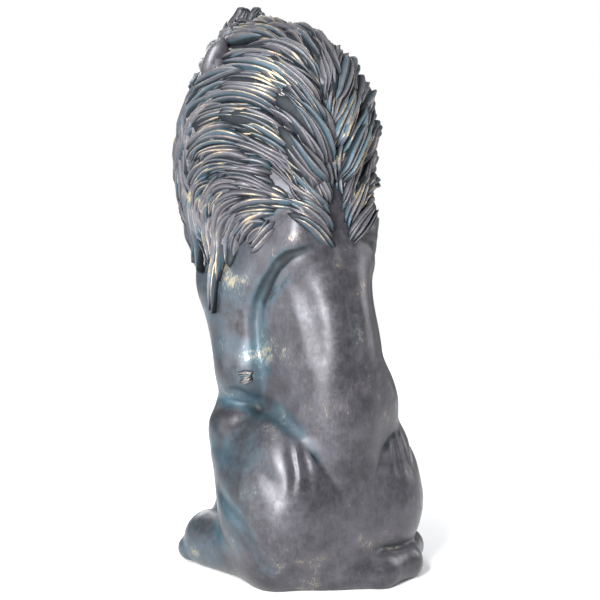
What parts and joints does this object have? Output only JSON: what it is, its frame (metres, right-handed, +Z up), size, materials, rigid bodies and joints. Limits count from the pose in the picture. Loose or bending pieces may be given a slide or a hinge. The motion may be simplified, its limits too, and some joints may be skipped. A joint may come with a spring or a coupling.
{
  "type": "lion garden statue",
  "caption": "Seated lion garden statue with a full carved mane, facing straight ahead, its tail curled along one side of its base.",
  "frame": {"origin": "on the ground under the middle of the statue's box", "axes": "+Z up, the lion faces -Y, its left side is +X"},
  "size_m": [0.31, 0.4082, 0.751],
  "materials": {
    "patina": "satin antique bronze paint, slate with blue-green hollows and rubbed gold"
  },
  "bodies": {
    "root": {"lion": "patina"}
  },
  "joints": []
}
